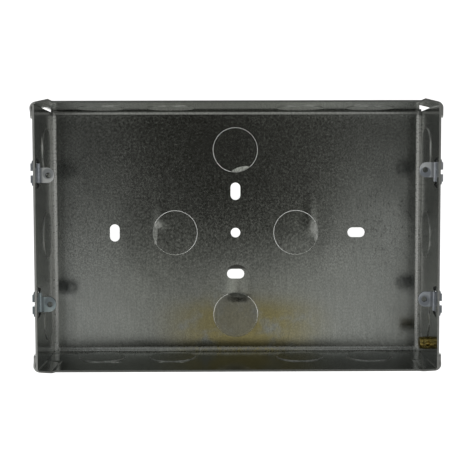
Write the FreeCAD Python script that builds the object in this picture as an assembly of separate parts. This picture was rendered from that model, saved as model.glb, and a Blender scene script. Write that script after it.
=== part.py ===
"""Flush back box for two rows of wiring accessories, folded from one steel blank.

Frame: millimetres, origin at the middle of the back plate's outer face, +Z out of
the open front, +X to the right and +Y up as seen from the front.
"""
import FreeCAD
import Part
import math
import os

V = FreeCAD.Vector

# Box
box_width = 204.0            # outside, left wall to right wall
box_height = 136.5           # outside, top wall to bottom wall
box_depth = 50.0             # outside of the back plate to the rim
long_wall_flare = 1.5        # each long wall leans out by this much up to the rim
side_wall_flare = 0.9        # each side wall too
sheet = 1.0                  # steel sheet
bend_radius = 2.4            # inside of the four bends of the back plate
punch_shift_x = -0.6         # the punched pattern sits slightly off the middle
punch_shift_y = -0.7

# Fixing holes of the back plate
centre_hole = 5.2
slot_width = 5.3
slot_length = 9.4
slot_pitch_x = 66.0          # middle of the box to the left and right slots
slot_to_knockout = 22.5      # upper and lower slots to the knockouts beyond them

# Conduit knockouts
knockout = 24.3
knockout_gap = 0.12          # sheared line round the slug
knockout_lift = 0.45         # slug pushed into the box
back_tie = 11.0              # chord of the uncut tie, back plate
wall_tie = 6.5               # chord of the uncut tie, walls
back_knockout_x = 33.0       # middle of the box to the left and right knockouts
back_knockout_edge = 23.15   # outside of the long walls to the upper and lower ones
upper_tie_turn = 15.0        # degrees, ties of these two turned towards the right
lower_tie_turn = 7.0
wall_knockout_height = 18.2  # above the outside of the back plate
side_knockout_edge = 24.25   # outside of the long walls to the end ones of three
long_knockout_edge = 30.8    # outside of the side walls to the end ones of four
long_knockout_pitch = 37.2   # end ones to the inner ones

# Corner strips: ends of the long walls, folded onto the side walls near the rim
wrap_depth = 24.0            # below the rim
wrap_run = 10.0              # along the long wall, from the corner
wrap_tail = 8.9              # along the side wall, from the corner
wrap_weld = 3.0              # length of the tail that lies on the side wall
wrap_jog = 2.0               # length over which the strip steps outwards
wrap_bend = 2.4              # inside radius
wrap_cut = 0.1               # lanced line under the strip
tail_round = 1.5
# Step out of the long wall, fall towards the corner, swell off the side wall
wrap_shapes = {
    ("left", "top"): (1.0, 2.0, 0.7),
    ("right", "top"): (0.9, 2.2, 0.1),
    ("left", "bottom"): (0.5, 0.6, 0.5),
    ("right", "bottom"): (0.2, 0.5, 0.5),
}
# Open seams: side wall short of the long wall, then the long wall short of the
# side wall at the lanced line and at the back plate
seam_gaps = {
    ("left", "top"): (0.9, 0.6, 0.6),
    ("right", "top"): (0.9, 5.8, 1.4),
    ("left", "bottom"): (0.1, -sheet, -sheet),
    ("right", "bottom"): (0.1, -sheet, -sheet),
}
seam_floor = 0.5             # the open seams stop this far above the back plate's face

# Captive lugs in the side walls
lug_sheet = 1.2
lug_row = 32.7               # middle of the punched pattern to each slot
lug_depth = 8.9              # top of the ear below the rim
lug_leg = 9.8                # width of the leg that stands in the slot
lug_float = 0.7              # free travel each way along the wall
lug_clearance = 0.1
lug_bend = 0.8
lug_slot_flare = 1.1         # slot is wider by this much at each rim-side end
lug_slot_top = 4.5           # wall left above the slot, up to the rim
lug_slot_corner = 0.15       # small, so that the square edges of the lug have room
ear_width = 7.7
ear_reach = 8.2              # tip of the ear from the inside of the wall
ear_round = 3.6
ear_shift = 1.1              # ear off the middle of the leg
lug_hole_inset = 5.1         # tapped hole from the inside of the wall
lug_thread_bore = 2.9        # tapping size of M3.5
lug_collar = 4.8
lug_collar_height = 0.9
plate_reach = 6.3            # outer plate, middle to each end
plate_ridge = 2.4            # middle to where it starts to thin out
plate_edge = 0.4             # thickness at its ends
plate_drop = 12.4            # its lower edge below the rim
plate_top = 0.5              # its upper edge below the rim
plate_notch = 2.2            # gap between its two upper tabs
jog_rise = 1.6               # height over which the leg steps out of the slot
# side, row and where each lug lies in its slot
lugs = {
    "lug_left_upper": (-1, 1, 0.3),
    "lug_left_lower": (-1, -1, -0.3),
    "lug_right_upper": (1, 1, 0.4),
    "lug_right_lower": (1, -1, -0.4),
}

# Earth terminal on the right wall
terminal_from_bottom = 10.85 # inside of the bottom wall to its axis
terminal_height = 34.0       # above the outside of the back plate
terminal_body = 6.6
terminal_length = 4.1
terminal_shank = 4.4
terminal_rivet = 5.4         # swaged rim on the outside of the wall
terminal_rivet_height = 0.6
wire_hole = 2.6
screw_thread = 3.5
screw_clearance = 0.1
screw_head = 6.2
screw_head_height = 1.9
screw_head_chamfer = 0.35
screw_slot_width = 0.9
screw_slot_depth = 1.0

# Places that follow from the sizes
half_x = box_width / 2
half_y = box_height / 2
wall_x = half_x - sheet      # inside faces of the walls
wall_y = half_y - sheet
bend_top = sheet + bend_radius
back_knockout_y = half_y - back_knockout_edge
slot_pitch_y = back_knockout_y - slot_to_knockout
side_knockout_pitch = half_y - side_knockout_edge
long_outer_knockout = half_x - long_knockout_edge
long_inner_knockout = long_outer_knockout - long_knockout_pitch
terminal_y = terminal_from_bottom - wall_y
long_slope = math.atan2(long_wall_flare, box_depth)
side_slope = math.atan2(side_wall_flare, box_depth)
margin = 1.0                 # cutters run past the faces by this


def rounded_wire(points, radii):
    """Closed wire through coplanar points, each corner rounded by its radius."""
    edges = []
    previous_end = None
    first_start = None
    count = len(points)
    for i in range(count):
        corner = points[i]
        before = (points[i - 1] - corner).normalize()
        after = (points[(i + 1) % count] - corner).normalize()
        if radii[i] > 0:
            half_angle = before.getAngle(after) / 2
            reach = radii[i] / math.tan(half_angle)
            bisector = (before + after).normalize()
            centre = corner + bisector * (radii[i] / math.sin(half_angle))
            start = corner + before * reach
            end = corner + after * reach
            middle = centre - bisector * radii[i]
        else:
            start = corner
            end = corner
        if previous_end is None:
            first_start = start
        elif (start - previous_end).Length > 1e-6:
            edges.append(Part.LineSegment(previous_end, start).toShape())
        if radii[i] > 0:
            edges.append(Part.Arc(start, middle, end).toShape())
        previous_end = end
    if (first_start - previous_end).Length > 1e-6:
        edges.append(Part.LineSegment(previous_end, first_start).toShape())
    return Part.Wire(edges)


def prism(points, radii, direction):
    """Solid swept from the rounded outline along a vector."""
    return Part.Face(rounded_wire(points, radii)).extrude(direction)


def lean(flare, height):
    """How far a flared wall at some height lies inside its place at the rim."""
    return flare * (1 - height / box_depth)


def tray(half_width, half_length, floor, top, radius):
    """Block with flared sides, a rounded lower edge all round and mitred corners."""
    low_x = half_width - lean(side_wall_flare, floor)
    high_x = half_width - lean(side_wall_flare, top)
    low_y = half_length - lean(long_wall_flare, floor)
    high_y = half_length - lean(long_wall_flare, top)
    across = prism(
        [V(-low_x, -high_y, floor), V(low_x, -high_y, floor),
         V(high_x, -high_y, top), V(-high_x, -high_y, top)],
        [radius, radius, 0, 0], V(0, 2 * high_y, 0))
    along = prism(
        [V(-high_x, -low_y, floor), V(-high_x, low_y, floor),
         V(-high_x, high_y, top), V(-high_x, -high_y, top)],
        [radius, radius, 0, 0], V(2 * high_x, 0, 0))
    return across.common(along)


def on_right_wall(shape):
    """Turn a shape drawn on an upright right wall onto the flared wall."""
    copy = shape.copy()
    copy.rotate(V(half_x, 0, box_depth), V(0, 1, 0), math.degrees(side_slope))
    return copy


def stadium(x, y, width, length, angle):
    """Cutter for a round-ended slot of the back plate."""
    straight = length - width
    cutter = Part.makeBox(straight, width, sheet + 2 * margin, V(-straight / 2, -width / 2, -margin))
    for end in (-1, 1):
        tip = Part.makeCylinder(width / 2, sheet + 2 * margin, V(end * straight / 2, 0, -margin))
        cutter = cutter.fuse(tip)
    cutter.rotate(V(0, 0, 0), V(0, 0, 1), angle)
    cutter.translate(V(x, y, 0))
    return cutter


def knockout_pieces(tie):
    """Cutter and slug of one knockout, local +Z into the box, tie towards +Y."""
    radius = knockout / 2
    opening = Part.makeCylinder(radius, sheet + 2 * margin, V(0, 0, -margin))
    sagitta = radius - math.sqrt(radius ** 2 - (tie / 2) ** 2)
    seat = 0.05              # tie runs this far into the sheet round the opening
    lens = Part.makeCylinder(radius + seat, 4 * sheet, V(0, 0, -sheet)).common(
        Part.makeCylinder(radius, 4 * sheet, V(0, 2 * (radius - sagitta), -sheet)))
    slug = Part.makeCylinder(radius - knockout_gap, sheet, V(0, 0, knockout_lift))
    tip = radius + seat
    foot = radius - 2 * sagitta
    slope = prism(
        [V(-radius, tip, 0), V(-radius, tip, sheet),
         V(-radius, foot, sheet + knockout_lift), V(-radius, foot, knockout_lift)],
        [0] * 4, V(2 * radius, 0, 0))
    return opening, slug.cut(lens).fuse(slope.common(lens))


def seated(shape, origin, inward, tie_direction):
    """Copy of a local shape with +Z turned to inward and +Y to tie_direction."""
    across = tie_direction.cross(inward)
    matrix = FreeCAD.Matrix(
        across.x, tie_direction.x, inward.x, origin.x,
        across.y, tie_direction.y, inward.y, origin.y,
        across.z, tie_direction.z, inward.z, origin.z,
        0, 0, 0, 1)
    copy = shape.copy()
    copy.Placement = FreeCAD.Placement(matrix)
    return copy


def knockout_places():
    """Every knockout: outer-face centre, inward direction, tie direction, chord."""
    back = V(0, 0, 1)
    upper = math.radians(upper_tie_turn)
    lower = math.radians(lower_tie_turn)
    upper_tie = V(math.sin(upper), -math.cos(upper), 0)
    lower_tie = V(math.sin(lower), math.cos(lower), 0)
    places = [
        (V(punch_shift_x, punch_shift_y + back_knockout_y, 0), back, upper_tie, back_tie),
        (V(punch_shift_x, punch_shift_y - back_knockout_y, 0), back, lower_tie, back_tie),
        (V(punch_shift_x - back_knockout_x, punch_shift_y, 0), back, V(-1, 0, 0), back_tie),
        (V(punch_shift_x + back_knockout_x, punch_shift_y, 0), back, V(1, 0, 0), back_tie),
    ]
    for side in (-1, 1):
        inward = V(-side * math.cos(side_slope), 0, math.sin(side_slope))
        upward = V(side * math.sin(side_slope), 0, math.cos(side_slope))
        face = side * (half_x - lean(side_wall_flare, wall_knockout_height))
        for step in (-1, 0, 1):
            centre = V(face, punch_shift_y + step * side_knockout_pitch, wall_knockout_height)
            places.append((centre, inward, upward, wall_tie))
        inward = V(0, -side * math.cos(long_slope), math.sin(long_slope))
        upward = V(0, side * math.sin(long_slope), math.cos(long_slope))
        face = side * (half_y - lean(long_wall_flare, wall_knockout_height))
        for x in (-long_outer_knockout, -long_inner_knockout, long_inner_knockout, long_outer_knockout):
            centre = V(punch_shift_x + x, face, wall_knockout_height)
            places.append((centre, inward, upward, wall_tie))
    return places


def beyond_inner_face(shape):
    """Part of a cutter that lies outwards of the long wall's inner face."""
    top = box_depth + margin
    outside = half_y + 2 * margin
    low_y = wall_y - lean(long_wall_flare, 0)
    high_y = wall_y - lean(long_wall_flare, top)
    slab = prism(
        [V(0, low_y, 0), V(0, high_y, top), V(0, outside, top), V(0, outside, 0)],
        [0] * 4, V(half_x + 2 * margin, 0, 0))
    return shape.common(slab)


def seam_cutter(side_x, side_y, gaps):
    """Opens one corner between the side wall and the long wall."""
    gap_side, gap_high, gap_low = gaps
    outside = half_x + margin
    high = box_depth - wrap_depth
    top = box_depth + margin
    # corners that are closed tight keep their bends whole
    floor = sheet + seam_floor if gap_low > 0 else bend_top
    inside = wall_x - side_wall_flare
    low_y = wall_y - lean(long_wall_flare, floor)
    high_y = wall_y - lean(long_wall_flare, top)
    beside = prism(
        [V(inside, low_y - gap_side, floor), V(inside, low_y, floor),
         V(inside, high_y, top), V(inside, high_y - gap_side, top)],
        [0] * 4, V(outside - inside, 0, 0))
    points = [
        V(outside, 0, floor), V(wall_x - gap_low, 0, floor),
        V(wall_x - gap_high, 0, high), V(wall_x - gap_high, 0, top), V(outside, 0, top),
    ]
    above = beyond_inner_face(prism(points, [0] * 5, V(0, half_y + 2 * margin, 0)))
    return turned(beside.fuse(above), side_x, side_y)


def turned(shape, side_x, side_y):
    """Mirror a shape of the right-hand top corner to the corner wanted."""
    if side_x < 0:
        shape = shape.mirror(V(0, 0, 0), V(1, 0, 0))
    if side_y < 0:
        shape = shape.mirror(V(0, 0, 0), V(0, 1, 0))
    return shape


def wrap_window(side_x, side_y):
    """Part of the long wall that the wrap strip is folded out of."""
    start = half_x - wrap_run
    low = box_depth - wrap_depth - wrap_cut
    cutter = Part.makeBox(wrap_run + margin, half_y + 2 * margin,
                          wrap_depth + wrap_cut + margin, V(start, 0, low))
    return turned(beyond_inner_face(cutter), side_x, side_y)


def wrap_strip(side_x, side_y, shape):
    """Strip that steps out of the long wall, rounds the corner and is welded on."""
    step, fall, swell = shape
    start = half_x - wrap_run
    low = box_depth - wrap_depth
    crest = start + wrap_jog
    corner = V(half_x + sheet + swell, half_y + step - fall, low)
    slope = fall / (corner.x - crest)
    end = half_y - wrap_tail
    outline = [
        V(start, wall_y, low), V(crest, wall_y + step, low),
        V(corner.x - sheet, corner.y + (slope - 1) * sheet, low),
        V(half_x, end + wrap_weld, low), V(half_x, end, low),
        V(half_x + sheet, end, low), V(half_x + sheet, end + wrap_weld, low),
        corner, V(crest, half_y + step, low), V(start, half_y, low),
    ]
    radii = [0, 0, wrap_bend, 0, 0, 0, 0, wrap_bend + sheet, 0, 0]
    # the strip leans with both walls
    shift = V(lean(side_wall_flare, low), lean(long_wall_flare, low), 0)
    strip = prism([point - shift for point in outline], radii, shift + V(0, 0, wrap_depth))
    # rounded end corners of the tail
    beyond = half_x + 3 * sheet
    keep = prism(
        [V(start, end, low), V(start, beyond, low), V(start, beyond, box_depth), V(start, end, box_depth)],
        [tail_round, 0, 0, tail_round], V(wrap_run + 4 * sheet, 0, 0))
    return turned(strip.common(keep), side_x, side_y)


def lug_slot(side, row):
    """Cutter for the flared slot that a lug stands in."""
    top = box_depth - lug_slot_top
    low = box_depth - lug_depth - lug_sheet - lug_clearance
    base = lug_leg / 2 + lug_float + lug_clearance
    wide = base + lug_slot_flare
    y = lug_slot_y(row)
    x = side * half_x + side * margin
    points = [V(x, y - base, low), V(x, y + base, low), V(x, y + wide, top), V(x, y - wide, top)]
    return prism(points, [lug_slot_corner] * 4, V(-side * (sheet + 2 * margin), 0, 0))


def lug_slot_y(row):
    return punch_shift_y + row * lug_row


def make_shell():
    """Back plate and four walls in one folded blank."""
    shell = tray(half_x, half_y, 0, box_depth, bend_radius + sheet)
    shell = shell.cut(tray(wall_x, wall_y, sheet, box_depth + margin, bend_radius))
    cutters = [
        Part.makeCylinder(centre_hole / 2, sheet + 2 * margin, V(punch_shift_x, punch_shift_y, -margin)),
        stadium(punch_shift_x, punch_shift_y + slot_pitch_y, slot_width, slot_length, 90),
        stadium(punch_shift_x, punch_shift_y - slot_pitch_y, slot_width, slot_length, 0),
        stadium(punch_shift_x - slot_pitch_x, punch_shift_y, slot_width, slot_length, 90),
        stadium(punch_shift_x + slot_pitch_x, punch_shift_y, slot_width, slot_length, 0),
        on_right_wall(Part.makeCylinder(terminal_shank / 2, sheet + 2 * margin,
                                        V(wall_x - margin, terminal_y, terminal_height), V(1, 0, 0))),
    ]
    sides = {"left": -1, "right": 1, "bottom": -1, "top": 1}
    strips = []
    for corner, gaps in seam_gaps.items():
        side_x, side_y = sides[corner[0]], sides[corner[1]]
        cutters.append(seam_cutter(side_x, side_y, gaps))
        cutters.append(wrap_window(side_x, side_y))
        strips.append(wrap_strip(side_x, side_y, wrap_shapes[corner]))
    for side, row, _ in lugs.values():
        cutters.append(lug_slot(side, row))
    slugs = []
    local = {tie: knockout_pieces(tie) for tie in (back_tie, wall_tie)}
    for centre, inward, tie_direction, tie in knockout_places():
        opening, slug = local[tie]
        cutters.append(seated(opening, centre, inward, tie_direction))
        slugs.append(seated(slug, centre, inward, tie_direction))
    shell = shell.cut(cutters)
    return shell.fuse(strips + slugs).removeSplitter()


def make_lug(side, row, offset):
    """Lug bent from strip: ear inside, leg in the slot, notched plate outside.

    Drawn for the left wall, with X inwards from the outside of the wall.
    """
    ear_top = box_depth - lug_depth
    ear_low = ear_top - lug_sheet
    tip = sheet + ear_reach
    inner = lug_sheet        # inside face of the leg
    plate_in = -lug_clearance
    plate_out = plate_in - lug_sheet
    top = box_depth - plate_top
    jog_end = box_depth - lug_slot_top - 4 * lug_clearance
    jog_start = jog_end - jog_rise
    slack = lug_sheet / 2    # keeps the jog one thickness of metal
    outline = [
        V(tip, 0, ear_low), V(tip, 0, ear_top), V(inner, 0, ear_top), V(inner, 0, jog_start),
        V(plate_in, 0, jog_end), V(plate_in, 0, top), V(plate_out, 0, top),
        V(plate_out, 0, jog_end - slack), V(0, 0, jog_start - slack), V(0, 0, ear_low),
    ]
    radii = [0, 0, lug_bend, 0, 0, 0, 0, 0, 0, 1.5 * lug_bend]
    body = prism(outline, radii, V(0, 2 * plate_reach, 0))
    body.translate(V(0, -plate_reach, 0))
    # ear and leg each keep their own width
    ear = prism(
        [V(sheet, -ear_shift - ear_width / 2, 0), V(tip, -ear_shift - ear_width / 2, 0),
         V(tip, -ear_shift + ear_width / 2, 0), V(sheet, -ear_shift + ear_width / 2, 0)],
        [0, ear_round, ear_round, 0], V(0, 0, box_depth))
    half_leg = lug_leg / 2
    leg = Part.makeBox(-plate_out + inner + lug_bend, lug_leg, box_depth, V(plate_out, -half_leg, 0))
    lug = body.common(ear.fuse(leg))
    # plate outside the wall, thinned towards its ends so that it covers the slot
    thin = plate_in - plate_edge
    low = box_depth - plate_drop
    plate = prism(
        [V(plate_in, -plate_reach, low), V(thin, -plate_reach, low), V(plate_out, -plate_ridge, low),
         V(plate_out, plate_ridge, low), V(thin, plate_reach, low), V(plate_in, plate_reach, low)],
        [0] * 6, V(0, 0, top - low))
    room = half_leg + lug_clearance
    plate = plate.cut(Part.makeBox(2 * lug_sheet, 2 * room, jog_start - slack - low + margin,
                                   V(-2 * lug_sheet, -room, low - margin)))
    lug = lug.fuse(plate)
    notch_low = jog_start - lug_sheet
    lug = lug.cut(Part.makeBox(2 * lug_sheet, plate_notch, box_depth,
                               V(plate_in - 2 * lug_sheet, -plate_notch / 2, notch_low)))
    hole = V(sheet + lug_hole_inset, -ear_shift, 0)
    lift = V(0, 0, ear_low - lug_collar_height)
    lug = lug.fuse(Part.makeCylinder(lug_collar / 2, lug_collar_height, hole + lift))
    lug = lug.cut(Part.makeCylinder(lug_thread_bore / 2, box_depth, hole))
    lug = lug.removeSplitter()
    # the same piece serves both walls, turned half round
    if side > 0:
        lug.rotate(V(0, 0, 0), V(0, 0, 1), 180)
    lug.translate(V(side * half_x, lug_slot_y(row) + offset, 0))
    return lug


def make_terminal():
    """Brass pillar riveted through the wall, with a cross hole for the wire."""
    axis = V(-1, 0, 0)
    centre = V(wall_x, terminal_y, terminal_height)
    body = Part.makeCylinder(terminal_body / 2, terminal_length, centre, axis)
    shank = Part.makeCylinder(terminal_shank / 2, sheet + terminal_rivet_height,
                              centre - axis * (sheet + terminal_rivet_height), axis)
    rivet = Part.makeCone(terminal_rivet / 2 - 0.4, terminal_rivet / 2, terminal_rivet_height,
                          centre - axis * (sheet + terminal_rivet_height), axis)
    body = body.fuse([shank, rivet])
    bore = Part.makeCylinder(screw_thread / 2 + screw_clearance / 2, terminal_length + sheet,
                             centre + axis * terminal_length, axis * -1)
    hole = Part.makeCylinder(wire_hole / 2, terminal_body + 2 * margin,
                             centre + axis * (terminal_length / 2) - V(0, 0, terminal_body / 2 + margin))
    return on_right_wall(body.cut(bore).cut(hole).removeSplitter())


def make_screw():
    """Slotted cheese-head clamping screw, run down to the wire hole."""
    axis = V(-1, 0, 0)
    seat = V(wall_x - terminal_length - screw_clearance, terminal_y, terminal_height)
    head = Part.makeCylinder(screw_head / 2, screw_head_height, seat, axis)
    head = head.makeChamfer(screw_head_chamfer, [max(head.Edges, key=lambda edge: -edge.BoundBox.XMax)])
    shank = Part.makeCylinder(screw_thread / 2, screw_clearance + terminal_length - 0.6, seat, axis * -1)
    slot = Part.makeBox(screw_slot_depth, screw_slot_width, screw_head + 2 * margin,
                        V(seat.x - screw_head_height, terminal_y - screw_slot_width / 2,
                          terminal_height - screw_head / 2 - margin))
    slot.rotate(seat, V(1, 0, 0), 25)
    return on_right_wall(head.fuse(shank).cut(slot).removeSplitter())


def main():
    os.makedirs("parts", exist_ok=True)
    pieces = {"box_shell": make_shell()}
    for name, (side, row, offset) in lugs.items():
        pieces[name] = make_lug(side, row, offset)
    pieces["earth_terminal"] = make_terminal()
    pieces["earth_screw"] = make_screw()
    for name, shape in pieces.items():
        print(name, "solids", len(shape.Solids), "valid", shape.isValid(),
              "volume", round(shape.Volume, 2), "box", shape.BoundBox)
        shape.exportStep(f"parts/{name}.step")


main()
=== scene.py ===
"""Looks of the flush back box: galvanised shell, zinc-plated lugs, brass earth terminal."""
import bpy
import math
from mathutils import Matrix, Vector


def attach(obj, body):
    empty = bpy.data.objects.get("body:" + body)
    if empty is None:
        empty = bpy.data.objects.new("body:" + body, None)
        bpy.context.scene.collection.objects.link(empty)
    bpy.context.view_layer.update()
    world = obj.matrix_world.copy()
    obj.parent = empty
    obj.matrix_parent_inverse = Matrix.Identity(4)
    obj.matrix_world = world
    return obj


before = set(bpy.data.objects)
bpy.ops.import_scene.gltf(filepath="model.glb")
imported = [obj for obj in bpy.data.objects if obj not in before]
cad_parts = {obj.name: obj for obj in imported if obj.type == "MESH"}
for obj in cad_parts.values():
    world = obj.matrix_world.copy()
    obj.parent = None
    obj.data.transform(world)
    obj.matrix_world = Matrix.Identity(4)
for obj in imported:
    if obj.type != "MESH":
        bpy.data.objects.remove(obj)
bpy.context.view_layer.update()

MM = 0.001

# Sizes that the finish follows, in millimetres, as in the part's source
HALF_X = 102.0
HALF_Y = 68.25
DEPTH = 50.0
SHEET = 1.0
SIDE_LEAN = 0.9
LONG_LEAN = 1.5
SHIFT_X = -0.6
SHIFT_Y = -0.7
KNOCKOUT_R = 12.15
SHEAR_LINE_R = KNOCKOUT_R - 0.06
BACK_KNOCKOUT_X = 33.0
BACK_KNOCKOUT_Y = 45.1
WALL_KNOCKOUT_Z = 18.2
SIDE_PITCH = 44.0
LONG_INNER = 34.0
LONG_OUTER = 71.2
LOWER_SLUG = (SHIFT_X, SHIFT_Y - BACK_KNOCKOUT_Y, 0)
WELD_Y = 61.0
WELD_LEVELS = (31.5, 44.0)

# Lugs: side of the box, row, and how far each stands off its row
LUGS = {
    "lug_left_upper": (-1, 1, 0.3),
    "lug_left_lower": (-1, -1, -0.3),
    "lug_right_upper": (1, 1, 0.4),
    "lug_right_lower": (1, -1, -0.4),
}
LUG_ROW = 32.7
LUG_HOLE_X = HALF_X - 6.1
LUG_HOLE_ASIDE = 1.1

# Thread ridge in the tapped holes of the lugs, in millimetres
THREAD_LOW = 39.0
THREAD_HIGH = 41.1
THREAD_BORE = 1.45
THREAD_PITCH = 0.6
THREAD_DEPTH = 0.17
THREAD_SUNK = 0.03
THREAD_HALF_ROOT = 0.24
THREAD_HALF_CREST = 0.03
THREAD_STEPS = 28
THREAD_FADE_STEPS = 8

# Camera: straight into the open front, slightly above the middle; angles in radians, place in metres
SENSOR_WIDTH = 36.0
FRAME_PIXELS = 474
FOCAL_PIXELS = 1078.234
CAMERA_TILT = 0.065
CAMERA_PAN = 0.007
CAMERA_ROLL = 0.003
CAMERA_PLACE = (-0.003926, 0.035225, 0.589996)

# Floor, in metres
FLOOR_REACH = 4.0
FLOOR_LEVEL = -0.00005

# Heights in millimetres between which a mark of the back plate fades out
CLOSE_TO_BACK = (3.0, 1.6)
NEAR_BACK = (3.0, 2.0)
OVER_BACK = (4.0, 2.0)

# Distances from the middle between which the walls and their inner faces begin
SIDE_WALLS = (98.6, 99.4)
LONG_WALLS = (64.6, 65.4)
INSIDE_SIDE_WALL = (HALF_X - 0.3, HALF_X - 0.6)
INSIDE_LONG_WALL = (HALF_Y - 0.3, HALF_Y - 0.6)

# Marks of the back plate that have one place only
STAIN_MIDDLE = (2.0, -51.0, 0)
STAIN_NARROWING = (0.62, 1, 0)
BURR_Y = -19.3
BURR_REACH_X = 6.0
BURR_REACH_Y = 1.3
BURR_BOW = 0.05
FOOT_LIFT_Y = -56.2

# Colours of the galvanised sheet
SHEET_DARK = (0.35, 0.365, 0.335, 1)
SHEET_LIGHT = (0.50, 0.515, 0.475, 1)
SHEET_BLUE = (0.43, 0.445, 0.445, 1)
SHEET_ROLLED = (0.56, 0.56, 0.53, 1)
SHEET_CLOUDED = (0.36, 0.365, 0.35, 1)
STAIN_FAINT = (0.42, 0.36, 0.155, 1)
STAIN_STRONG = (0.54, 0.46, 0.20, 1)
STAINED_SLUG = (0.20, 0.185, 0.15, 1)
SHEAR_HIGHLIGHT = (0.62, 0.62, 0.60, 1)
LOWER_ARC_SHADE = (0.16, 0.16, 0.14, 1)
UPPER_RING_SHADE = (0.16, 0.16, 0.15, 1)
LONG_FOLD_WORN = (0.45, 0.45, 0.43, 1)
SIDE_FOLD_WORN_AND_HIGHLIT = (0.78, 0.78, 0.75, 1)
UPPER_FOLD_SHADE = (0.10, 0.10, 0.095, 1)
BURNT = (0.16, 0.15, 0.14, 1)
CORNER_SHADE = (0.07, 0.07, 0.065, 1)
LIGHT_MARK = (0.80, 0.80, 0.77, 1)
SLOT_END_SHADE = (0.015, 0.015, 0.017, 1)
GLINT = (0.96, 0.96, 0.92, 1)
BURR = (0.05, 0.05, 0.045, 1)
RIM_LONG_SHADE = (0.16, 0.16, 0.15, 1)
RIM_LEFT_HIGHLIGHT = (0.62, 0.62, 0.60, 1)
RIM_RIGHT_HIGHLIGHT = (0.36, 0.36, 0.345, 1)

# Colours of the zinc plate
PLATE_DARK = (0.60, 0.64, 0.70, 1)
PLATE_LIGHT = (0.86, 0.89, 0.94, 1)
PLATE_CLOUDED = (0.46, 0.50, 0.56, 1)
PLATE_LIT = (0.97, 0.98, 0.96, 1)
PLATE_GREENISH = (0.36, 0.50, 0.47, 1)
PLATE_DULL = (0.36, 0.39, 0.42, 1)
PLATE_RING_SHADE = (0.17, 0.19, 0.22, 1)
PLATE_RIM_HIGHLIGHT = (0.97, 0.98, 0.98, 1)
PLATE_ROOT_SHADE = (0.12, 0.13, 0.15, 1)
PLATE_EDGE_SHADE = (0.10, 0.11, 0.12, 1)
PLATE_SHADED = (0.12, 0.13, 0.16, 1)
PLATE_SLOT_SHADE = (0.012, 0.012, 0.014, 1)

# Colours of the brass
BRASS_DARK = (0.38, 0.29, 0.08, 1)
BRASS_LIGHT = (0.72, 0.58, 0.20, 1)
BRASS_GROOVE = (0.13, 0.08, 0.02, 1)
BRASS_PATINA = (0.09, 0.06, 0.02, 1)

# Tones of the surroundings that the box mirrors
DIM_LEFT = (0.032, 0.032, 0.029, 1)
DIM_RIGHT = (0.072, 0.072, 0.067, 1)
FAR_DIM_LEFT = (0.125, 0.13, 0.12, 1)
FAR_DIM_RIGHT = (0.085, 0.088, 0.080, 1)
BRIGHT_MIDDLE = (0.344, 0.347, 0.333, 1)
BRIGHT_RIGHT = (0.63, 0.64, 0.62, 1)
BRIGHT_LEFT = (0.55, 0.56, 0.55, 1)
UPPER_LEFT_SIDE = (0.054, 0.056, 0.053, 1)
UPPER_RIGHT_SIDE = (0.047, 0.049, 0.047, 1)
LOWER_LEFT_SIDE = (0.29, 0.295, 0.28, 1)
LOWER_RIGHT_SIDE = (0.20, 0.205, 0.195, 1)
PALE_BELOW = (0.66, 0.66, 0.65, 1)
PALE_ABOVE = (0.30, 0.31, 0.31, 1)

# Darker and lighter patches of the back plate: x, y, reach in x, reach in y, tone, share
TONE_PATCHES = (
    (-54.0, 2.0, 15.0, 22.0, 0.05, 0.19),
    (45.0, -1.0, 12.0, 16.0, 0.05, 0.11),
    (-80.0, 38.0, 16.0, 20.0, 0.05, 0.15),
    (82.0, 27.0, 11.0, 11.0, 0.05, 0.14),
    (94.0, 12.0, 5.0, 11.0, 0.05, 0.26),
    (-94.0, -33.0, 5.5, 6.0, 0.90, 0.24),
    (96.0, -34.0, 6.0, 12.0, 0.90, 0.08),
    (85.0, 0.0, 9.0, 18.0, 0.90, 0.09),
)

# A streak above the upper slot, a nick by the lower fold, and four rubs from handling:
# start x and y, end x and y, half width, share
LIGHT_MARKS = (
    (-0.4, 26.8, -0.2, 33.0, 0.5, 0.35),
    (-20.0, -66.4, -20.0, -64.6, 0.3, 0.8),
    (48.0, 18.0, 60.0, 4.0, 0.12, 0.25),
    (-70.0, -38.0, -57.0, -41.0, 0.12, 0.22),
    (20.0, -33.0, 31.0, -29.0, 0.12, 0.25),
    (-86.0, 22.0, -79.0, 34.0, 0.12, 0.2),
)

# Painted glints where the punch dished the slugs of the long walls: x, z, reach in x, reach in z
UPPER_WALL_GLINTS = (
    (-65.0, 32.4, 6.2, 2.6),
    (-28.4, 32.8, 3.6, 2.2),
    (37.8, 33.2, 4.6, 3.2),
    (62.0, 33.0, 2.4, 2.4),
)
LOWER_WALL_GLINTS = (
    (-64.0, 31.0, 4.4, 2.0),
    (-74.0, 31.4, 5.0, 0.9),
    (-40.0, 31.6, 1.8, 1.1),
    (-29.0, 31.6, 1.6, 1.0),
)

# The same on the side walls: x, y, z, reach in y, reach in z, all with one reach in x
SIDE_GLINT_REACH_X = 2.5
SIDE_WALL_GLINTS = (
    (-101.0, 46.2, 30.4, 6.0, 1.2),
    (101.0, 45.6, 29.8, 7.5, 0.7),
)

# Painted highlights beside the ties of the left and right slugs: x, y, reach in x, reach in y,
# share, all with one reach in z
TIE_HIGHLIGHT_REACH_Z = 10 / 3
TIE_HIGHLIGHTS = (
    (-42.8, 3.6, 2.2, 2.4, 0.5),
    (-44.3, -6.0, 0.8, 1.3, 0.9),
    (-44.4, 3.9, 0.8, 1.7, 0.9),
    (42.2, 1.6, 2.2, 4.4, 0.45),
    (43.9, -3.4, 0.7, 2.0, 0.9),
)

# Slight bends of three back slugs beside their ties: x, y, reach in x, reach in y, rise
SLUG_BENDS = (
    (-41.0, 3.6, 3.4, 2.8, 0.10),
    (40.2, 0.4, 2.6, 4.6, 0.08),
    (0.7, -36.3, 5.0, 3.0, -0.34),
)


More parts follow.
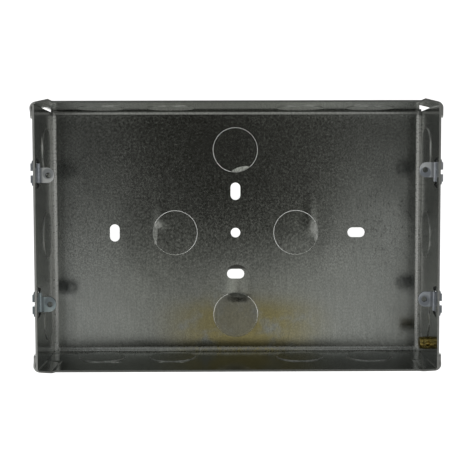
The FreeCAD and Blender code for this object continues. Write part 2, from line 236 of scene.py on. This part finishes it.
def grey(tone):
    return (tone, tone, tone, 1)


def add_to_scene(name, data):
    thing = bpy.data.objects.new(name, data)
    bpy.context.scene.collection.objects.link(thing)
    return thing


def make_camera():
    lens = bpy.data.cameras.new("camera")
    lens.sensor_width = SENSOR_WIDTH
    lens.lens = FOCAL_PIXELS / FRAME_PIXELS * SENSOR_WIDTH
    lens.clip_start = 0.01
    lens.clip_end = 50
    camera = add_to_scene("camera", lens)
    roll = Matrix.Rotation(CAMERA_ROLL, 3, "Z")
    pan = Matrix.Rotation(CAMERA_PAN, 3, "Y")
    tilt = Matrix.Rotation(CAMERA_TILT, 3, "X")
    place = (roll @ pan @ tilt).transposed().to_4x4()
    place.translation = Vector(CAMERA_PLACE)
    camera.matrix_world = place
    bpy.context.scene.camera = camera


class Graph:
    """Lays out shader nodes. Each call gives the socket of its result."""

    def __init__(self, tree):
        self.tree = tree
        self.nodes = tree.nodes

    def add(self, kind, **settings):
        node = self.nodes.new(kind)
        for key, value in settings.items():
            setattr(node, key, value)
        return node

    def put(self, socket, value):
        if isinstance(value, bpy.types.NodeSocket):
            self.tree.links.new(value, socket)
        else:
            socket.default_value = value

    def math(self, operation, a, b=0.0, clamp=False):
        node = self.add("ShaderNodeMath", operation=operation, use_clamp=clamp)
        self.put(node.inputs[0], a)
        self.put(node.inputs[1], b)
        return node.outputs[0]

    def chain(self, operation, first, others):
        result = first
        for value in others:
            result = self.math(operation, result, value)
        return result

    def product(self, first, *others):
        return self.chain("MULTIPLY", first, others)

    def total(self, first, *others):
        return self.chain("ADD", first, others)

    def most(self, first, *others):
        return self.chain("MAXIMUM", first, others)

    def minus(self, value, amount, clamp=False):
        return self.math("SUBTRACT", value, amount, clamp)

    def absolute(self, value):
        return self.math("ABSOLUTE", value)

    def vector(self, operation, a, b=None):
        node = self.add("ShaderNodeVectorMath", operation=operation)
        self.put(node.inputs[0], a)
        if b is not None:
            self.put(node.inputs[1], b)
        if operation in ("DISTANCE", "LENGTH", "DOT_PRODUCT"):
            return node.outputs["Value"]
        return node.outputs[0]

    def split(self, vector):
        node = self.add("ShaderNodeSeparateXYZ")
        self.put(node.inputs[0], vector)
        return node.outputs

    def stretch(self, coords, scale):
        node = self.add("ShaderNodeMapping")
        self.put(node.inputs["Vector"], coords)
        node.inputs["Scale"].default_value = scale
        return node.outputs[0]

    def band(self, value, low, high, out_low=0.0, out_high=1.0, smooth=True):
        """Goes from out_low to out_high as the value goes from low to high."""
        kind = "SMOOTHSTEP" if smooth else "LINEAR"
        node = self.add("ShaderNodeMapRange", interpolation_type=kind)
        self.put(node.inputs["Value"], value)
        self.put(node.inputs["From Min"], low)
        self.put(node.inputs["From Max"], high)
        self.put(node.inputs["To Min"], out_low)
        self.put(node.inputs["To Max"], out_high)
        return node.outputs[0]

    def mix(self, share, a, b, kind="MIX"):
        node = self.add("ShaderNodeMix", data_type="RGBA", blend_type=kind)
        self.put(node.inputs[0], share)
        self.put(node.inputs[6], a)
        self.put(node.inputs[7], b)
        return node.outputs[2]

    def blend(self, value, low, high, a, b):
        """Colour that goes from a to b as the value goes from low to high."""
        return self.mix(self.band(value, low, high), a, b)

    def noise(self, coords, scale, detail, rough):
        node = self.add("ShaderNodeTexNoise")
        self.put(node.inputs["Vector"], coords)
        self.put(node.inputs["Scale"], scale)
        self.put(node.inputs["Detail"], detail)
        self.put(node.inputs["Roughness"], rough)
        return node.outputs[0]


class Finish(Graph):
    """A material in the making: its colour so far, and the place on the object in millimetres."""

    def __init__(self, name):
        self.material = bpy.data.materials.new(name)
        self.material.use_nodes = True
        super().__init__(self.material.node_tree)
        self.shader = self.nodes["Principled BSDF"]
        place = self.add("ShaderNodeTexCoord").outputs["Object"]
        self.spot = self.stretch(place, (1 / MM, 1 / MM, 1 / MM))
        self.x, self.y, self.z = self.split(self.spot)
        self.out_x = self.absolute(self.x)
        self.out_y = self.absolute(self.y)
        self.colour = None

    def speckle(self, frequency, detail, rough):
        return self.noise(self.spot, frequency, detail, rough)

    def streaks(self, frequencies, detail, rough):
        """Noise with a frequency of its own along each axis."""
        return self.noise(self.stretch(self.spot, frequencies), 1.0, detail, rough)

    def facing(self, axis):
        """How far the surface faces along an axis, from -1 to 1."""
        normal = self.add("ShaderNodeNewGeometry").outputs["True Normal"]
        return self.vector("DOT_PRODUCT", normal, axis)

    def patch(self, centre, reach, fade):
        """Mask of a soft ellipsoid. An axis whose reach is 0 is left out."""
        scale = tuple(1 / size if size else 0.0 for size in reach)
        away = self.vector("MULTIPLY", self.vector("SUBTRACT", self.spot, centre), scale)
        return self.band(self.vector("LENGTH", away), *fade)

    def from_lug_row(self):
        """Distance along y to the nearer row of lugs."""
        from_middle = self.absolute(self.minus(self.y, SHIFT_Y))
        return self.absolute(self.minus(from_middle, LUG_ROW))

    def paint(self, share, colour, kind="MIX"):
        """Lays a colour over the one so far. The share is a number or a mask."""
        self.colour = self.mix(share, self.colour, colour, kind)

    def complete(self, metallic, rough, height, edge_radius):
        """Joins colour, gloss and relief to the shader, with edges rounded in the shading."""
        self.put(self.shader.inputs["Base Color"], self.colour)
        self.put(self.shader.inputs["Metallic"], metallic)
        self.put(self.shader.inputs["Roughness"], rough)
        bevel = self.add("ShaderNodeBevel", samples=4)
        bevel.inputs["Radius"].default_value = edge_radius * MM
        bump = self.add("ShaderNodeBump")
        bump.inputs["Strength"].default_value = 1.0
        bump.inputs["Distance"].default_value = MM
        self.put(bump.inputs["Height"], height)
        self.put(bump.inputs["Normal"], bevel.outputs[0])
        self.put(self.shader.inputs["Normal"], bump.outputs[0])
        return self.material


# Layers of the galvanised sheet


def shear_lines(steel):
    """Mask of the sheared line round each knockout."""
    back = (steel.vector("MULTIPLY", steel.spot, (1, 1, 0)), steel.band(steel.z, 2.6, 2.2))
    side = (steel.vector("MULTIPLY", steel.spot, (0, 1, 1)), steel.band(steel.out_x, *SIDE_WALLS))
    long = (steel.vector("MULTIPLY", steel.spot, (1, 0, 1)), steel.band(steel.out_y, *LONG_WALLS))
    rings = []
    for y in (BACK_KNOCKOUT_Y, -BACK_KNOCKOUT_Y):
        rings.append((back, (SHIFT_X, SHIFT_Y + y, 0)))
    for x in (BACK_KNOCKOUT_X, -BACK_KNOCKOUT_X):
        rings.append((back, (SHIFT_X + x, SHIFT_Y, 0)))
    for step in (-1, 0, 1):
        rings.append((side, (0, SHIFT_Y + step * SIDE_PITCH, WALL_KNOCKOUT_Z)))
    for x in (-LONG_OUTER, -LONG_INNER, LONG_INNER, LONG_OUTER):
        rings.append((long, (SHIFT_X + x, 0, WALL_KNOCKOUT_Z)))
    masks = []
    for (flattened, on_face), centre in rings:
        away = steel.minus(steel.vector("DISTANCE", flattened, centre), SHEAR_LINE_R)
        masks.append(steel.product(steel.band(steel.absolute(away), 0.26, 0.10), on_face))
    return steel.most(*masks)


def bare_sheet(steel, grain, cloud, roll, beside_middle):
    """Grain of the zinc under rolled streaks and clouds, bluer towards the sides."""
    steel.colour = steel.blend(grain, 0.3, 0.7, SHEET_DARK, SHEET_LIGHT)
    steel.paint(steel.product(beside_middle, 0.5), SHEET_BLUE)
    steel.paint(steel.band(roll, 0.35, 0.7, 0.0, 0.35), SHEET_ROLLED)
    steel.paint(steel.band(cloud, 0.35, 0.75, 0.0, 0.4), SHEET_CLOUDED)


def passivation_stain(steel):
    """Warm stain of the lower back plate, weaker on the slug, which is darker inside its line."""
    flattened = steel.vector("MULTIPLY", steel.spot, (1, 1, 0))
    from_slug = steel.vector("DISTANCE", flattened, LOWER_SLUG)
    narrowed = steel.vector("MULTIPLY", steel.spot, STAIN_NARROWING)
    from_stain = steel.vector("DISTANCE", narrowed, STAIN_MIDDLE)
    on_back = steel.band(steel.z, *OVER_BACK)
    stain = steel.product(
        steel.band(from_stain, 34.0, 8.0),
        steel.band(steel.speckle(0.07, 3.0, 0.65), 0.27, 0.54),
        on_back,
        steel.band(from_slug, 11.0, 13.0, 0.45, 1.0),
        steel.band(steel.y, -31.0, -45.0, 0.15, 1.0),
        0.9,
    )
    steel.paint(stain, steel.blend(steel.y, -53.0, -59.0, STAIN_FAINT, STAIN_STRONG))
    steel.paint(steel.product(steel.band(from_slug, 12.0, 11.0), on_back, 0.35), STAINED_SLUG)


def broad_streaks(steel):
    streak = steel.streaks((0.42, 0.05, 0.05), 3.0, 0.6)
    steel.paint(1.0, steel.blend(streak, 0.3, 0.7, grey(0.95), grey(1.05)), "MULTIPLY")


def darker_sides_and_patches(steel):
    """Darker strips beside the side walls, and darker and lighter patches."""
    on_back = steel.band(steel.z, *CLOSE_TO_BACK)
    right = steel.band(steel.x, 86.0, 96.0, 0.0, 0.2)
    left = steel.band(steel.x, -86.0, -96.0, 0.0, 0.26)
    steel.paint(steel.product(steel.total(right, left), on_back), grey(0.02))
    for x, y, reach_x, reach_y, tone, share in TONE_PATCHES:
        patch = steel.patch((x, y, 0), (reach_x, reach_y, 0), (1.2, 0.2))
        steel.paint(steel.product(patch, on_back, share), grey(tone))


def dark_flecks(steel):
    """Short dark flecks of the right half, and a few on the left."""
    fleck = steel.streaks((0.75, 0.42, 0.5), 3.0, 0.7)
    right = steel.band(steel.x, 55.0, 72.0)
    left = steel.band(steel.x, -50.0, -75.0, 0.0, 0.7)
    flecks = steel.product(
        steel.band(fleck, 0.56, 0.63),
        steel.most(right, left),
        steel.band(steel.y, -26.0, -8.0),
        steel.band(steel.y, 34.0, 16.0),
        steel.band(steel.z, *CLOSE_TO_BACK),
        0.4,
    )
    steel.paint(flecks, grey(0.04))


def fine_grain(steel, cloud):
    """Fine grain, milder on the lower half and the right side of the back plate."""
    fine = steel.streaks((1.15, 0.9, 1.0), 2.0, 0.6)
    strong = steel.blend(fine, 0.3, 0.7, grey(0.70), grey(1.26))
    mild = steel.blend(fine, 0.3, 0.7, grey(0.85), grey(1.10))
    lower = steel.band(steel.total(steel.y, steel.product(cloud, 24.0)), 4.0, -22.0)
    right = steel.product(
        steel.band(steel.x, 48.0, 70.0, 0.0, 0.75),
        steel.band(steel.y, 36.0, 18.0),
    )
    calm = steel.product(steel.most(lower, right), steel.band(steel.z, *OVER_BACK))
    steel.paint(1.0, steel.mix(calm, strong, mild), "MULTIPLY")


def worn_and_highlit_folds(steel):
    """Zinc crazed and worn at the folds, lighter on the side folds as a painted highlight, with
    painted shade on the upper fold. Gives how rough and how far from metallic they are.
    """
    left = steel.band(steel.x, -90.0, -96.0)
    beside_back = steel.most(
        steel.band(steel.out_x, 97.6, 98.0),
        steel.band(steel.out_y, 63.2, 63.6),
    )
    above_back = steel.band(steel.z, 0.9, 1.0)
    ticks = steel.streaks((0.9, 0.9, 0.25), 3.0, 0.7)
    beads = steel.product(
        steel.band(steel.y, -62.0, -63.0),
        steel.band(ticks, 0.52, 0.40, 0.0, 0.6),
    )
    fold = steel.product(
        above_back,
        steel.band(steel.minus(steel.z, steel.product(left, 2.6)), 3.9, 3.2),
        beside_back,
        steel.band(steel.out_x, 100.6, 100.4),
        steel.band(steel.out_y, 66.3, 66.1),
        steel.band(steel.y, 61.0, 64.0, 1.0, 0.45),
        steel.minus(steel.band(ticks, 0.3, 0.55, 0.35, 1.0), beads, clamp=True),
    )
    # crazed, worn zinc at the folds; the lighter side folds are also a painted highlight
    on_side = steel.band(steel.out_x, 96.8, 97.6)
    worn_and_highlit = steel.mix(on_side, LONG_FOLD_WORN, SIDE_FOLD_WORN_AND_HIGHLIT)
    steel.paint(steel.product(fold, steel.band(left, 0.0, 1.0, 0.72, 0.88)), worn_and_highlit)
    # painted shade on the upper fold
    upper_fold_shade = steel.product(
        steel.band(steel.y, 62.8, 63.4),
        above_back,
        steel.band(steel.z, 5.0, 3.6),
        0.5,
    )
    steel.paint(upper_fold_shade, UPPER_FOLD_SHADE)
    rough = steel.product(fold, steel.band(left, 0.0, 1.0, 0.42, 0.55))
    return rough, steel.product(fold, on_side, 0.35)


def spot_welds(steel):
    """Burnt rings of the spot welds that hold the tails of the corner strips."""
    on_tail = steel.band(steel.out_x, 102.2, 102.4)
    seat = steel.vector("MULTIPLY", steel.vector("ABSOLUTE", steel.spot), (0, 1, 1))
    for level in WELD_LEVELS:
        away = steel.vector("DISTANCE", seat, (0, WELD_Y, level))
        rim = steel.band(away, 1.5, 1.1)
        middle = steel.band(away, 0.5, 0.9, 0.4, 1.0)
        steel.paint(steel.product(rim, middle, on_tail, 0.7), BURNT)


def upright_walls(steel):
    """Distances from the middle in x and y, with the lean of the walls taken out."""
    below_rim = steel.minus(1.0, steel.math("DIVIDE", steel.z, DEPTH))
    wall_x = steel.total(steel.out_x, steel.product(below_rim, SIDE_LEAN))
    wall_y = steel.total(steel.out_y, steel.product(below_rim, LONG_LEAN))
    return wall_x, wall_y


def corner_shade(steel, wall_x, wall_y):
    """Painted shade in the two lower corners, where the walls meet."""
    dirt = steel.product(
        steel.band(wall_x, HALF_X - 1.5, HALF_X - 1.3),
        steel.band(wall_y, HALF_Y - 1.5, HALF_Y - 1.3),
        steel.band(steel.y, -50.0, -60.0),
        steel.band(steel.z, 3.0, 4.5),
        0.3,
    )
    steel.paint(dirt, CORNER_SHADE)


def light_marks(steel):
    on_back = steel.band(steel.z, 4.5, 3.5)
    for start_x, start_y, end_x, end_y, half_width, share in LIGHT_MARKS:
        run = Vector((end_x - start_x, end_y - start_y, 0))
        square = Vector((-run.y, run.x, 0)).normalized()
        from_start = steel.vector("SUBTRACT", steel.spot, (start_x, start_y, 0))
        along = steel.vector("DOT_PRODUCT", from_start, tuple(run))
        along = steel.math("DIVIDE", along, run.length_squared)
        aside = steel.absolute(steel.vector("DOT_PRODUCT", from_start, tuple(square)))
        mark = steel.product(
            steel.band(aside, half_width, half_width * 0.3),
            steel.band(steel.absolute(steel.minus(along, 0.5)), 0.52, 0.40),
            on_back,
            share,
        )
        steel.paint(mark, LIGHT_MARK)


def slot_end_shade(steel):
    """Painted shade round the ends of the lug slots, which slant, where the open slot looks dark.
    Gives its mask.
    """
    slot_end = steel.band(steel.z, 39.8, 45.5, 5.7, 6.8, smooth=False)
    past_end = steel.minus(steel.from_lug_row(), slot_end)
    slot_shade = steel.product(
        steel.band(past_end, -0.4, -0.2),
        steel.band(past_end, 1.35, 1.0),
        steel.band(steel.z, 38.6, 39.4),
        steel.band(steel.z, 47.0, 46.4),
        steel.band(steel.out_x, 99.5, 100.0),
    )
    steel.paint(steel.product(slot_shade, 0.92), SLOT_END_SHADE)
    return slot_shade


def long_wall_glints(steel, wall_y):
    """Mask of the painted glints of the long walls, broken up by noise."""
    spots = []
    for glints, on_wall in (
        (UPPER_WALL_GLINTS, steel.band(steel.y, 60.0, 62.0)),
        (LOWER_WALL_GLINTS, steel.band(steel.y, -60.0, -62.0)),
    ):
        for x, z, reach_x, reach_z in glints:
            patch = steel.patch((x, 0, z), (reach_x, 0, reach_z), (1.3, 0.1))
            spots.append(steel.product(patch, on_wall))
    glint_breakup = steel.streaks((0.9, 0.9, 1.6), 3.0, 0.7)
    return steel.product(
        steel.most(*spots),
        steel.band(wall_y, *INSIDE_LONG_WALL),
        steel.band(glint_breakup, 0.38, 0.55, 0.15, 1.0),
    )


def bright_spots(steel, roll, wall_x, wall_y):
    """Painted glints of the wall slugs and painted highlights beside the ties of the back slugs.
    Gives their mask.
    """
    spots = [long_wall_glints(steel, wall_y)]
    inside_wall = steel.band(wall_x, *INSIDE_SIDE_WALL)
    for x, y, z, reach_y, reach_z in SIDE_WALL_GLINTS:
        patch = steel.patch((x, y, z), (SIDE_GLINT_REACH_X, reach_y, reach_z), (1.3, 0.2))
        spots.append(steel.product(patch, inside_wall))
    streaked = steel.band(roll, 0.3, 0.6, 0.55, 1.0)
    for x, y, reach_x, reach_y, share in TIE_HIGHLIGHTS:
        patch = steel.patch((x, y, SHEET), (reach_x, reach_y, TIE_HIGHLIGHT_REACH_Z), (1.2, 0.4))
        spots.append(steel.product(patch, share, streaked))
    bright = steel.most(*spots)
    # painted highlight: the glints and the tie highlights, lighter and less metallic
    steel.paint(steel.product(bright, 0.9), GLINT)
    return bright


def slot_burr(steel):
    """Dark bowed burr above the lower fixing slot."""
    bow = steel.product(steel.x, steel.x, BURR_BOW)
    rise = steel.math("DIVIDE", steel.total(steel.y, bow, -BURR_Y), BURR_REACH_Y)
    aside = steel.math("DIVIDE", steel.x, BURR_REACH_X)
    away = steel.total(steel.product(aside, aside), steel.product(rise, rise))
    burr = steel.band(away, 1.0, 0.25, 0.0, 0.8)
    steel.paint(steel.product(burr, steel.band(steel.z, *NEAR_BACK)), BURR)


def shaded_arcs(steel, shear):
    """Painted shade along the lower arc of the lower slug, and painted shade that dims the line
    round the upper one.
    """
    on_back = steel.band(steel.z, *NEAR_BACK)
    lower = steel.band(steel.y, -42.0, -50.0)
    upper = steel.band(steel.y, 22.0, 30.0)
    steel.paint(steel.product(shear, lower, on_back, 0.6), LOWER_ARC_SHADE)
    steel.paint(steel.product(shear, upper, on_back, 0.5), UPPER_RING_SHADE)


def cut_rim(steel):
    """Cut edge of the walls, with painted shade along the long walls and a painted highlight at the
    ends, lighter on the left. Gives its mask.
    """
    rim = steel.product(
        steel.band(steel.z, DEPTH - 0.2, DEPTH - 0.05),
        steel.band(steel.facing((0, 0, 1)), 0.7, 0.9),
    )
    # painted shade on the rim along the long walls, painted highlight at the ends
    side = steel.blend(steel.x, -10.0, 10.0, RIM_LEFT_HIGHLIGHT, RIM_RIGHT_HIGHLIGHT)
    steel.paint(steel.product(rim, 0.7), steel.blend(steel.out_x, 100.2, 100.8, RIM_LONG_SHADE, side))
    return rim


def slug_bends(steel):
    """Heights by which the punch has bent three back slugs beside their ties."""
    on_back = steel.band(steel.z, *NEAR_BACK)
    heights = []
    for x, y, reach_x, reach_y, rise in SLUG_BENDS:
        aside = steel.math("DIVIDE", steel.minus(steel.x, x), reach_x)
        bell = steel.math("EXPONENT", steel.product(aside, aside, -1.0))
        ramp = steel.band(steel.y, y - reach_y, y + reach_y)
        fade = steel.band(steel.y, y + reach_y + 18.0, y + reach_y)
        heights.append(steel.product(bell, ramp, on_back, fade, rise))
    return heights


def sheet_relief(steel, cloud):
    """Height of the sheet's surface in millimetres, for the bump."""
    grain = steel.product(steel.speckle(0.55, 1.0, 0.4), 0.004)
    speck = steel.product(steel.speckle(2.6, 2.0, 0.5), 0.0004)
    waves = steel.product(cloud, 0.10)
    # the plate lifts slightly towards the fold of the lower wall
    past_start = steel.most(steel.minus(FOOT_LIFT_Y, steel.y), 0.0)
    steep = steel.band(steel.out_x, 20.0, 55.0, 0.0014, 0.0054)
    on_back = steel.band(steel.z, 2.4, 1.6)
    lift = steel.product(past_start, past_start, on_back, steep)
    return steel.total(grain, speck, waves, lift, *slug_bends(steel))


def galvanised():
    """Folded sheet: the zinc itself, then its marks, its wear and its painted light and shade, in
    the order they lie.
    """
    steel = Finish("galvanised_sheet")
    grain = steel.speckle(0.75, 4.0, 0.62)
    cloud = steel.speckle(0.028, 2.0, 0.5)
    drift = steel.speckle(0.012, 1.0, 0.4)
    roll = steel.streaks((1.4, 0.12, 0.12), 3.0, 0.6)
    beside_middle = steel.band(steel.absolute(steel.total(steel.x, 6.0)), 30.0, 85.0)
    wall_x, wall_y = upright_walls(steel)
    shear = shear_lines(steel)

    bare_sheet(steel, grain, cloud, roll, beside_middle)
    passivation_stain(steel)
    broad_streaks(steel)
    darker_sides_and_patches(steel)
    dark_flecks(steel)
    fine_grain(steel, cloud)
    # painted highlight along the sheared lines round the knockouts
    steel.paint(steel.product(shear, 0.2), SHEAR_HIGHLIGHT)
    rough_fold, dull_fold = worn_and_highlit_folds(steel)
    spot_welds(steel)
    corner_shade(steel, wall_x, wall_y)
    light_marks(steel)
    slot_shade = slot_end_shade(steel)
    bright = bright_spots(steel, roll, wall_x, wall_y)
    slot_burr(steel)
    shaded_arcs(steel, shear)
    rim = cut_rim(steel)

    shear_of_walls = steel.product(shear, steel.band(steel.z, 3.0, 4.0), 0.6)
    dull = steel.most(shear_of_walls, steel.product(bright, 0.85), dull_fold)
    smooth = steel.total(
        steel.band(grain, 0.25, 0.75, 0.10, 0.17),
        steel.band(drift, 0.3, 0.7, -0.01, 0.03),
        steel.product(beside_middle, 0.04),
    )
    rough = steel.most(
        smooth,
        steel.product(steel.most(slot_shade, bright), 0.6),
        steel.product(rim, 0.45),
        steel.product(shear, 0.387),
        rough_fold,
    )
    return steel.complete(steel.minus(1.0, dull), rough, sheet_relief(steel, cloud), 0.12)


# Layers of the zinc plate


def lug_tones(plate, flat):
    """The left upper ear gets a painted lighter tone as if lit, the left lower lug is greenish, the
    right lower one duller.
    """
    left = plate.band(plate.x, -40.0, -60.0)
    left_ear = plate.product(left, plate.band(plate.x, -100.0, -99.0), flat)
    right = plate.band(plate.x, 40.0, 60.0)
    upper = plate.band(plate.y, 10.0, 20.0)
    lower = plate.band(plate.y, -10.0, -20.0)
    plate.paint(plate.product(left_ear, upper, 0.9), PLATE_LIT)
    plate.paint(plate.product(left, lower, 0.5), PLATE_GREENISH)
    plate.paint(plate.product(right, lower, 0.4), PLATE_DULL)


def lug_shading(plate, flat):
    """Painted shade in a ring round the tapped hole, a painted highlight on the right upper ear
    outside the ring, painted shade at the root and on the edges.
    """
    row = plate.from_lug_row()
    across = plate.minus(plate.out_x, LUG_HOLE_X)
    away = plate.math("SQRT", plate.total(plate.product(row, row), plate.product(across, across)))
    plate.paint(plate.product(plate.band(away, 3.3, 2.2), flat, 0.62), PLATE_RING_SHADE)
    right_upper = plate.product(plate.band(plate.x, 60.0, 80.0), plate.band(plate.y, 10.0, 20.0))
    rim_highlight = plate.product(right_upper, plate.band(away, 2.6, 3.2), flat, 0.65)
    plate.paint(rim_highlight, PLATE_RIM_HIGHLIGHT)
    root = plate.product(plate.band(plate.out_x, HALF_X - 3.6, HALF_X - 2.6), flat, 0.6)
    plate.paint(root, PLATE_ROOT_SHADE)
    edge_shade = plate.product(
        plate.band(plate.out_x, HALF_X - 2.6, HALF_X - 3.4),
        plate.band(flat, 0.5, 0.1),
        0.75,
    )
    plate.paint(edge_shade, PLATE_EDGE_SHADE)


def lug_slot_shade(plate):
    """Painted shade on the leg, and painted shade where the outer plate closes the slot. Gives the
    mask of the slot shade.
    """
    outward = plate.product(plate.facing((1, 0, 0)), plate.math("SIGN", plate.x))
    inward = plate.band(outward, -0.6, -0.9)
    leg = plate.product(
        inward,
        plate.band(plate.out_x, HALF_X - 0.4, HALF_X - 0.6),
        plate.band(plate.z, 42.2, 43.2, 0.0, 0.85),
    )
    plate.paint(leg, PLATE_SHADED)
    slot_shade = plate.product(
        plate.band(plate.out_x, HALF_X - 0.1, HALF_X + 0.02),
        plate.band(plate.out_x, HALF_X + 0.7, HALF_X + 0.5),
        inward,
    )
    plate.paint(slot_shade, PLATE_SLOT_SHADE)
    return slot_shade


def zinc():
    plate = Finish("zinc_plate")
    grain = plate.speckle(1.6, 3.0, 0.6)
    cloud = plate.speckle(0.35, 2.0, 0.5)
    flat = plate.band(plate.absolute(plate.facing((0, 0, 1))), 0.75, 0.95)
    plate.colour = plate.blend(grain, 0.3, 0.7, PLATE_DARK, PLATE_LIGHT)
    plate.paint(plate.band(cloud, 0.42, 0.62, 0.0, 0.6), PLATE_CLOUDED)
    lug_tones(plate, flat)
    lug_shading(plate, flat)
    slot_shade = lug_slot_shade(plate)
    gloss_of_edges = plate.band(flat, 0.0, 1.0, 0.55, 1.0)
    rough = plate.product(plate.band(grain, 0.25, 0.75, 0.36, 0.52), gloss_of_edges)
    return plate.complete(0.5, plate.most(rough, slot_shade), plate.product(grain, 0.03), 0.15)


def brass():
    """Turned brass with fine grooves and patina."""
    gold = Finish("brass")
    grain = gold.speckle(1.2, 3.0, 0.6)
    grooves = gold.streaks((9, 0.6, 0.6), 2.0, 0.5)
    patina = gold.streaks((0.35, 0.9, 0.5), 2.0, 0.6)
    gold.colour = gold.blend(grain, 0.3, 0.7, BRASS_DARK, BRASS_LIGHT)
    gold.paint(gold.band(grooves, 0.45, 0.6, 0.0, 0.7), BRASS_GROOVE)
    gold.paint(gold.band(patina, 0.47, 0.58, 0.0, 0.7), BRASS_PATINA)
    rough = gold.band(grain, 0.25, 0.75, 0.18, 0.36)
    return gold.complete(1.0, rough, gold.product(grooves, 0.02), 0.12)


def dress_nodes(steel, plate, gold):
    """Gives each CAD node its material."""
    finish = {"box_shell": steel, "earth_terminal": gold, "earth_screw": gold}
    for name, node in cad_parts.items():
        material = finish.get(name, plate)
        if not node.material_slots:
            node.data.materials.append(material)
        for item in node.material_slots:
            item.material = material


def thread_mesh(name, x, y):
    """Ridge of a female thread, wound up the wall of a tapped hole."""
    count = int((THREAD_HIGH - THREAD_LOW - THREAD_PITCH) / THREAD_PITCH * THREAD_STEPS)
    points = []
    faces = []
    for i in range(count + 1):
        turn = 2 * math.pi * i / THREAD_STEPS
        level = THREAD_LOW + THREAD_PITCH / 2 + THREAD_PITCH * i / THREAD_STEPS
        fade = min(1.0, i / THREAD_FADE_STEPS, (count - i) / THREAD_FADE_STEPS)
        root = THREAD_BORE + THREAD_SUNK
        crest = THREAD_BORE - THREAD_DEPTH * fade
        profile = (
            (root, -THREAD_HALF_ROOT),
            (crest, -THREAD_HALF_CREST),
            (crest, THREAD_HALF_CREST),
            (root, THREAD_HALF_ROOT),
        )
        for radius, rise in profile:
            place = (x + radius * math.cos(turn), y + radius * math.sin(turn), level + rise)
            points.append(tuple(value * MM for value in place))
        if i:
            a = 4 * (i - 1)
            for k in range(4):
                n = (k + 1) % 4
                faces.append((a + k, a + n, a + 4 + n, a + 4 + k))
    last = 4 * count
    faces.append((3, 2, 1, 0))
    faces.append((last, last + 1, last + 2, last + 3))
    mesh = bpy.data.meshes.new(name)
    mesh.from_pydata(points, [], faces)
    mesh.validate()
    for face in mesh.polygons:
        face.use_smooth = True
    return mesh


def make_threads(plate):
    """A thread ridge in the tapped hole of each lug."""
    for body, (side, row, offset) in LUGS.items():
        x = side * LUG_HOLE_X
        y = SHIFT_Y + row * LUG_ROW + offset + side * LUG_HOLE_ASIDE
        mesh = thread_mesh("thread_" + body, x, y)
        mesh.materials.append(plate)
        piece = add_to_scene("thread_" + body, mesh)
        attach(piece, body)


def make_floor():
    corners = []
    for x, y in ((-1, -1), (1, -1), (1, 1), (-1, 1)):
        corners.append((x * FLOOR_REACH, y * FLOOR_REACH, FLOOR_LEVEL))
    mesh = bpy.data.meshes.new("floor")
    mesh.from_pydata(corners, [], [(0, 1, 2, 3)])
    floor = add_to_scene("floor", mesh)
    material = bpy.data.materials.new("pale_floor")
    material.use_nodes = True
    shader = material.node_tree.nodes["Principled BSDF"]
    shader.inputs["Base Color"].default_value = grey(0.92)
    shader.inputs["Roughness"].default_value = 0.9
    shader.inputs["Specular IOR Level"].default_value = 0.1
    shader.inputs["Emission Color"].default_value = grey(1)
    shader.inputs["Emission Strength"].default_value = 0.85
    mesh.materials.append(material)


def above_the_front(sky, x, y):
    """What the box mirrors: a dim patch inside a bow, pale beyond it, and two tones at the sides."""
    dim = sky.blend(x, 0.0, 0.13, DIM_LEFT, DIM_RIGHT)
    far_dim = sky.blend(x, -0.12, 0.0, FAR_DIM_LEFT, FAR_DIM_RIGHT)
    dim = sky.blend(y, 0.10, 0.17, dim, far_dim)
    bright = sky.blend(x, 0.0, 0.13, BRIGHT_MIDDLE, BRIGHT_RIGHT)
    bright = sky.blend(x, -0.07, -0.13, bright, BRIGHT_LEFT)
    across = sky.total(x, 0.025)
    width = sky.absolute(across)
    curve = sky.product(sky.math("POWER", width, 3.6), sky.band(across, -0.02, 0.02, 222.0, 56.0))
    bow = sky.math("MINIMUM", curve, sky.product(width, 0.66))
    inside_bow = sky.minus(sky.total(y, 0.0990), bow)
    middle = sky.blend(inside_bow, 0.036, -0.038, dim, bright)
    upper = sky.blend(x, -0.1, 0.1, UPPER_LEFT_SIDE, UPPER_RIGHT_SIDE)
    lower = sky.blend(x, -0.1, 0.1, LOWER_LEFT_SIDE, LOWER_RIGHT_SIDE)
    sides = sky.blend(y, 0.0, -0.10, upper, lower)
    return sky.blend(sky.absolute(x), 0.145, 0.175, middle, sides)


def make_world():
    """Soft studio surroundings: pale all round, dim straight above."""
    world = bpy.data.worlds.new("studio")
    bpy.context.scene.world = world
    world.use_nodes = True
    sky = Graph(world.node_tree)
    background = sky.nodes["Background"]
    x, y, z = sky.split(sky.add("ShaderNodeTexCoord").outputs["Generated"])
    pale = sky.blend(y, -0.1, 0.25, PALE_BELOW, PALE_ABOVE)
    pale = sky.blend(z, 0.45, 0.15, pale, grey(0.5))
    off_axis = sky.math("SQRT", sky.total(sky.product(x, x), sky.product(y, y)))
    colour = sky.blend(off_axis, 0.31, 0.50, above_the_front(sky, x, y), pale)
    sky.put(background.inputs["Color"], colour)
    background.inputs["Strength"].default_value = 1.0


make_camera()
zinc_plate = zinc()
dress_nodes(galvanised(), zinc_plate, brass())
make_threads(zinc_plate)
make_floor()
make_world()
bpy.context.scene.view_settings.view_transform = "Standard"
